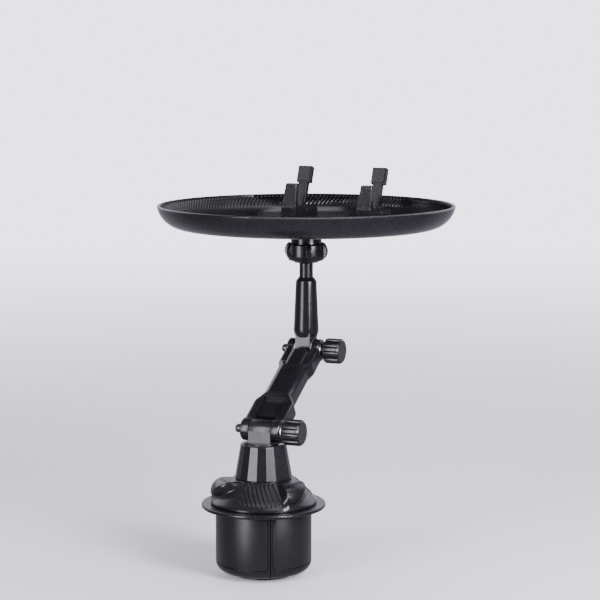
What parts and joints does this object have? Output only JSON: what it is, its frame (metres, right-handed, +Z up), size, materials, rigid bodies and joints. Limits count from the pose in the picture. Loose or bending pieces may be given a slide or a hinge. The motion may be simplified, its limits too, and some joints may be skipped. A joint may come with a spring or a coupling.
{
  "type": "car phone mount",
  "caption": "Car cup-holder phone mount: expanding round base with a turn dial, tilting arm, ball joint and a wide round tray with two phone clips.",
  "frame": {"origin": "centre of the base's flat underside, where it stands in a cup holder or on a table", "axes": "+Z up along the base's axis, X along the two tilt hinges' axes, +Y the way the arm leans; at rest the tray lies level"},
  "size_m": [0.215, 0.2275, 0.2764],
  "materials": {
    "satin_abs": "satin black ABS",
    "tray_abs": "smooth satin black ABS",
    "jaw_abs": "fine-textured black ABS",
    "nylon": "dark glass-filled nylon",
    "acetal": "natural acetal",
    "rubber_black": "black silicone rubber",
    "steel_black": "black oxide steel",
    "steel": "zinc plated steel"
  },
  "bodies": {
    "base": {"base_core": "satin_abs", "base_cap": "satin_abs", "foot_pad": "rubber_black", "base_screws": "steel", "swivel_friction_washer": "acetal"},
    "jaw_1": {"jaw_1": "jaw_abs", "jaw_pad_1": "rubber_black", "follower_pin_1": "steel"},
    "jaw_2": {"jaw_2": "jaw_abs", "jaw_pad_2": "rubber_black", "follower_pin_2": "steel"},
    "jaw_3": {"jaw_3": "jaw_abs", "jaw_pad_3": "rubber_black", "follower_pin_3": "steel"},
    "jaw_4": {"jaw_4": "jaw_abs", "jaw_pad_4": "rubber_black", "follower_pin_4": "steel"},
    "dial": {"cam_plate": "nylon", "dial": "satin_abs", "dial_screws": "steel", "slip_washer": "nylon"},
    "collar": {"lock_collar": "satin_abs"},
    "swivel": {"swivel_post": "nylon", "swivel_thrust_washer": "acetal"},
    "link": {"link": "satin_abs", "lower_clamp_bolt": "steel_black", "upper_clamp_bolt": "steel_black", "clamp_washers": "steel"},
    "lower_knob": {"lower_knob": "satin_abs", "lower_knob_nut": "steel"},
    "upper_knob": {"upper_knob": "satin_abs", "upper_knob_nut": "steel"},
    "stem": {"stem_sleeve": "satin_abs", "ball_stem": "nylon", "tongue_washers": "acetal"},
    "upper_seat": {"upper_ball_seat": "acetal"},
    "lower_seat": {"lower_ball_seat": "acetal"},
    "tray": {"tray": "tray_abs", "ball_socket": "satin_abs", "socket_screws": "steel", "clip_base_left": "satin_abs", "clip_base_right": "satin_abs", "hook_pad_left": "rubber_black", "hook_pad_right": "rubber_black", "clip_screws": "steel", "rest_pin_left": "steel", "rest_pin_right": "steel"},
    "lock_nut": {"ball_lock_nut": "satin_abs"},
    "rest_left": {"phone_rest_left": "satin_abs", "rest_pad_left": "rubber_black"},
    "rest_right": {"phone_rest_right": "satin_abs", "rest_pad_right": "rubber_black"}
  },
  "joints": [
    {"name": "dial_turn", "type": "hinge", "parent": "base", "child": "dial", "pos_m": [0, 0, 0.0596], "axis": [0, 0, 1], "range_deg": [0, 80]},
    {"name": "jaw_slide_1", "type": "slide", "parent": "base", "child": "jaw_1", "axis": [0.9744, -0.225, 0], "range_m": [0, 0.00801]},
    {"name": "jaw_slide_2", "type": "slide", "parent": "base", "child": "jaw_2", "axis": [0.225, 0.9744, 0], "range_m": [0, 0.00801]},
    {"name": "jaw_slide_3", "type": "slide", "parent": "base", "child": "jaw_3", "axis": [-0.9744, 0.225, 0], "range_m": [0, 0.00801]},
    {"name": "jaw_slide_4", "type": "slide", "parent": "base", "child": "jaw_4", "axis": [-0.225, -0.9744, 0], "range_m": [0, 0.00801]},
    {"name": "collar_turn", "type": "hinge", "parent": "base", "child": "collar", "pos_m": [0, 0, 0.0806], "axis": [0, 0, 1], "range_deg": [0, 180]},
    {"name": "base_swivel", "type": "hinge", "parent": "base", "child": "swivel", "pos_m": [0, 0, 0.0798], "axis": [0, 0, 1], "continuous": true},
    {"name": "lower_tilt", "type": "hinge", "parent": "swivel", "child": "link", "pos_m": [0, 0, 0.1016], "axis": [1, 0, 0], "range_deg": [-18, 100]},
    {"name": "lower_knob_turn", "type": "hinge", "parent": "link", "child": "lower_knob", "pos_m": [0, 0, 0.1016], "axis": [1, 0, 0], "range_deg": [0, 360]},
    {"name": "upper_tilt", "type": "hinge", "parent": "link", "child": "stem", "pos_m": [0, 0.0766, 0.1475], "axis": [1, 0, 0], "range_deg": [-100, 20]},
    {"name": "upper_knob_turn", "type": "hinge", "parent": "link", "child": "upper_knob", "pos_m": [0, 0.0766, 0.1475], "axis": [1, 0, 0], "range_deg": [0, 360]},
    {"name": "ball_tilt_x", "type": "hinge", "parent": "stem", "child": "upper_seat", "pos_m": [0, 0.0766, 0.2181], "axis": [1, 0, 0], "range_deg": [-14, 14]},
    {"name": "ball_tilt_y", "type": "hinge", "parent": "upper_seat", "child": "lower_seat", "pos_m": [0, 0.0766, 0.2181], "axis": [0, 1, 0], "range_deg": [-14, 14]},
    {"name": "tray_spin", "type": "hinge", "parent": "lower_seat", "child": "tray", "pos_m": [0, 0.0766, 0.2181], "axis": [0, 0, 1], "continuous": true},
    {"name": "lock_nut_turn", "type": "hinge", "parent": "tray", "child": "lock_nut", "pos_m": [0, 0.0766, 0.2181], "axis": [0, 0, 1], "range_deg": [0, 180]},
    {"name": "rest_left_fold", "type": "hinge", "parent": "tray", "child": "rest_left", "pos_m": [-0.03, 0.1361, 0.244], "axis": [-1, 0, 0], "range_deg": [0, 60]},
    {"name": "rest_right_fold", "type": "hinge", "parent": "tray", "child": "rest_right", "pos_m": [0.03, 0.1361, 0.244], "axis": [-1, 0, 0], "range_deg": [0, 60]}
  ],
  "couplings": [
    {"joint": "jaw_slide_1", "follows": "dial_turn", "m_per_rad": 0.0057296},
    {"joint": "jaw_slide_2", "follows": "dial_turn", "m_per_rad": 0.0057296},
    {"joint": "jaw_slide_3", "follows": "dial_turn", "m_per_rad": 0.0057296},
    {"joint": "jaw_slide_4", "follows": "dial_turn", "m_per_rad": 0.0057296}
  ]
}
